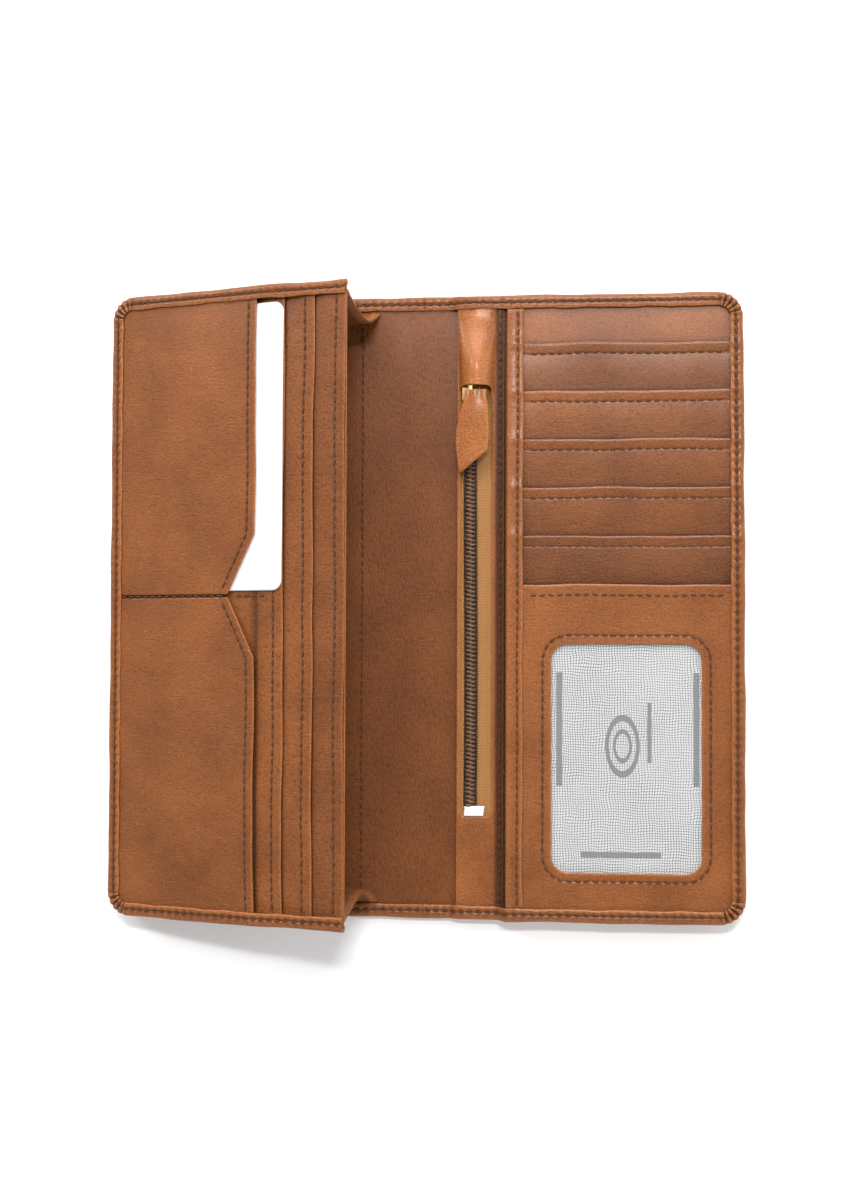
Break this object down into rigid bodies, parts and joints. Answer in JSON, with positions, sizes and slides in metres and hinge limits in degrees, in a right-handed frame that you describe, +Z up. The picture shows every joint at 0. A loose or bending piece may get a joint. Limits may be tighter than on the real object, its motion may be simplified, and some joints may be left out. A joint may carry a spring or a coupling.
{
  "type": "long wallet",
  "caption": "Open long bifold leather wallet with a raised gusseted pocket leaf, zipped coin pocket, card slots and a clear ID window.",
  "frame": {"origin": "under the middle of the spine, on the surface the open wallet lies on", "axes": "+X to the right across the open wallet, +Y along the spine towards the zip's closed end, +Z up out of the open wallet"},
  "size_m": [0.194, 0.19, 0.0316],
  "materials": {
    "leather_tan": "smooth full-grain, semi-gloss",
    "leather_lining": "matt dark lining leather",
    "board": "grey board",
    "pouch_cloth": "plain woven lining",
    "zip_tape": "herringbone tape",
    "zip_coil": "moulded coil, satin",
    "zip_metal": "antique brass",
    "stop_metal": "white enamel",
    "card_plastic": "smooth white",
    "clear_film": "clear flexible film",
    "insert_paper": "fine grey mesh print",
    "thread": "waxed polyester thread"
  },
  "bodies": {
    "left_cover": {"cover_left": "leather_tan", "stiffener_left": "board", "lining_left": "leather_lining", "leaf_hinge_strip": "leather_lining", "gusset_top": "leather_tan", "gusset_bottom": "leather_tan"},
    "spine": {"cover_spine": "leather_tan", "lining_spine": "leather_lining"},
    "right_cover": {"cover_right": "leather_tan", "stiffener_right": "board", "lining_right": "leather_lining", "coin_pouch": "pouch_cloth", "zip_tape_left": "zip_tape", "zip_tape_right": "zip_tape", "zip_teeth_left": "zip_coil", "zip_teeth_right": "zip_coil", "zip_top_stop": "zip_metal", "zip_bottom_stop": "stop_metal", "zip_panel": "leather_tan", "card_trim": "leather_tan", "card_backing": "leather_tan", "slot_panel_1": "leather_tan", "slot_panel_2": "leather_tan", "slot_panel_3": "leather_tan", "slot_panel_4": "leather_tan", "slot_panel_5": "leather_tan", "id_panel": "leather_tan", "id_window": "clear_film"},
    "leaf": {"leaf_back": "leather_tan", "leaf_panel_rear": "leather_tan", "leaf_pocket_third": "leather_tan", "leaf_pocket_second": "leather_tan", "leaf_pocket_upper": "leather_tan", "leaf_pocket_lower": "leather_tan"},
    "slider": {"zip_slider": "zip_metal"},
    "puller": {"zip_puller": "leather_tan"},
    "loose_card": {"spare_card": "card_plastic"},
    "id_card": {"id_insert": "insert_paper"}
  },
  "joints": [
    {"name": "spine_fold_left", "type": "hinge", "parent": "left_cover", "child": "spine", "pos_m": [-0.008, 0, 0.001], "axis": [0, -1, 0], "range_deg": [0, 90]},
    {"name": "spine_fold_right", "type": "hinge", "parent": "spine", "child": "right_cover", "pos_m": [0.008, 0, 0.001], "axis": [0, -1, 0], "range_deg": [0, 90]},
    {"name": "leaf_open", "type": "hinge", "parent": "left_cover", "child": "leaf", "pos_m": [-0.0951, 0, 0.0031], "axis": [0, -1, 0], "range_deg": [-19.5, 0], "deforming": ["gusset_top", "gusset_bottom"]},
    {"name": "zip_slide", "type": "slide", "parent": "right_cover", "child": "slider", "axis": [0, -1, 0], "range_m": [0, 0.12]},
    {"name": "puller_swing", "type": "hinge", "parent": "slider", "child": "puller", "pos_m": [0.0146, 0.06466, 0.00572], "axis": [-1, 0, 0], "range_deg": [0, 180]},
    {"name": "card_slide", "type": "slide", "parent": "leaf", "child": "loose_card", "axis": [0.9426, 0, 0.3338], "range_m": [0, 0.024]},
    {"name": "id_slide", "type": "slide", "parent": "right_cover", "child": "id_card", "axis": [0, 1, 0], "range_m": [0, 0.06]}
  ],
  "couplings": [
    {"joint": "spine_fold_right", "follows": "spine_fold_left", "ratio": 1},
    {"joint": "leaf_open", "follows": "spine_fold_left", "ratio": -0.21666}
  ]
}
